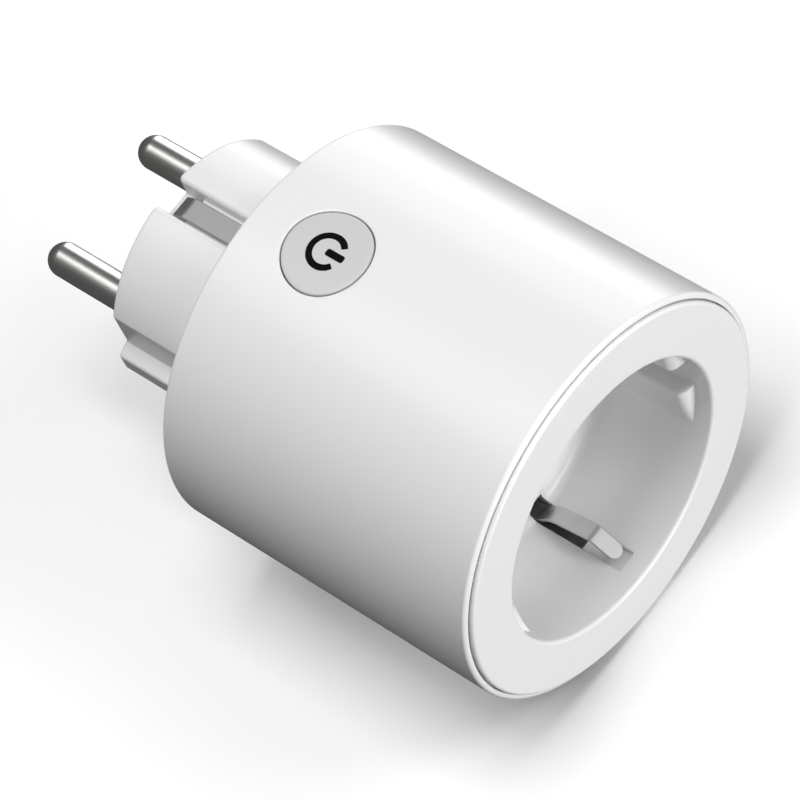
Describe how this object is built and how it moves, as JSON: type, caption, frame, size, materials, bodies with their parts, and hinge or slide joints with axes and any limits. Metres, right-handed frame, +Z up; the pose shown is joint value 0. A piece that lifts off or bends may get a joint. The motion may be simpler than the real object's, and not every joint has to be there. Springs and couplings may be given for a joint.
{
  "type": "smart plug",
  "caption": "Round plug-in adapter with an earthed pin plug behind, a recessed earthed socket in front, a relay and radio inside and a push button on its side.",
  "frame": {"origin": "centre of the plug's face, the plane that meets the floor of a wall outlet, on the body's axis", "axes": "+Y along the pins towards the wall, -Y out of the socket, +Z up through the button, X through both pins"},
  "size_m": [0.056, 0.087, 0.056],
  "materials": {
    "shell_white": "satin-gloss moulded",
    "insert_white": "satin moulded",
    "button_white": "satin moulded",
    "symbol_black": "matte inlay",
    "nickel": "nickel-plated brass, drawn",
    "earth_metal": "tinned spring strip",
    "contact_brass": "stamped",
    "inner_grey": "matte moulded",
    "shutter_grey": "matte moulded",
    "board_green": "solder mask",
    "chip_black": "moulded epoxy",
    "relay_blue": "moulded case",
    "coil_copper": "enamelled wire under tape",
    "steel": "plain",
    "led_clear": "clear epoxy",
    "can_sleeve": "shrink sleeve",
    "varistor_blue": "dipped epoxy",
    "resistor_green": "lacquer"
  },
  "bodies": {
    "housing": {"outer_shell": "shell_white", "rear_housing": "shell_white", "socket_insert": "insert_white", "plug_pin_left": "nickel", "plug_pin_right": "nickel", "plug_earth_strap": "earth_metal", "socket_earth_bracket": "earth_metal", "earth_rivet": "steel", "contact_carrier": "inner_grey", "carrier_screws": "steel", "live_contact": "contact_brass", "neutral_contact": "contact_brass", "shutter_spring": "steel", "button_board": "board_green", "tact_switch": "steel", "status_led": "led_clear", "board_header": "chip_black", "main_board": "board_green", "relay_case": "relay_blue", "relay_base": "chip_black", "relay_coil": "coil_copper", "relay_yoke": "steel", "relay_post": "contact_brass", "bulk_capacitor": "can_sleeve", "output_capacitor": "can_sleeve", "input_inductor": "chip_black", "varistor": "varistor_blue", "fuse_resistor": "resistor_green", "bridge_rectifier": "chip_black", "power_ic": "chip_black", "metering_ic": "chip_black", "current_shunt": "contact_brass", "wifi_board": "board_green", "wifi_shield": "steel"},
    "button": {"button_cap": "button_white", "power_icon": "symbol_black"},
    "switch_stem": {"tact_stem": "chip_black"},
    "shutter": {"safety_shutter": "shutter_grey"},
    "clip_top": {"earth_clip_top": "earth_metal"},
    "clip_bottom": {"earth_clip_bottom": "earth_metal"},
    "armature": {"relay_armature": "steel"}
  },
  "joints": [
    {"name": "button_press", "type": "slide", "parent": "housing", "child": "button", "axis": [0, 0, -1], "range_m": [0, 0.00035], "stiffness_N_per_m": 800, "springref_m": -0.002},
    {"name": "stem_press", "type": "slide", "parent": "housing", "child": "switch_stem", "axis": [0, 0, -1], "range_m": [0, 0.00035]},
    {"name": "shutter_turn", "type": "hinge", "parent": "housing", "child": "shutter", "pos_m": [0, -0.0475, 0], "axis": [0, 1, 0], "range_deg": [0, 38], "stiffness_Nm_per_rad": 0.004, "springref_deg": -28.65},
    {"name": "clip_top_flex", "type": "hinge", "parent": "housing", "child": "clip_top", "pos_m": [0, -0.0477, 0.02025], "axis": [-1, 0, 0], "range_deg": [0, 3.5], "stiffness_Nm_per_rad": 0.4, "springref_deg": -1.15},
    {"name": "clip_bottom_flex", "type": "hinge", "parent": "housing", "child": "clip_bottom", "pos_m": [0, -0.0477, -0.02025], "axis": [1, 0, 0], "range_deg": [0, 3.5], "stiffness_Nm_per_rad": 0.4, "springref_deg": -1.15},
    {"name": "armature_tilt", "type": "hinge", "parent": "housing", "child": "armature", "pos_m": [-0.0081, -0.0347, -0.01575], "axis": [0, 0, 1], "range_deg": [0, 3.5], "stiffness_Nm_per_rad": 0.02, "springref_deg": -2.86}
  ],
  "couplings": [
    {"joint": "stem_press", "follows": "button_press", "ratio": 1}
  ]
}
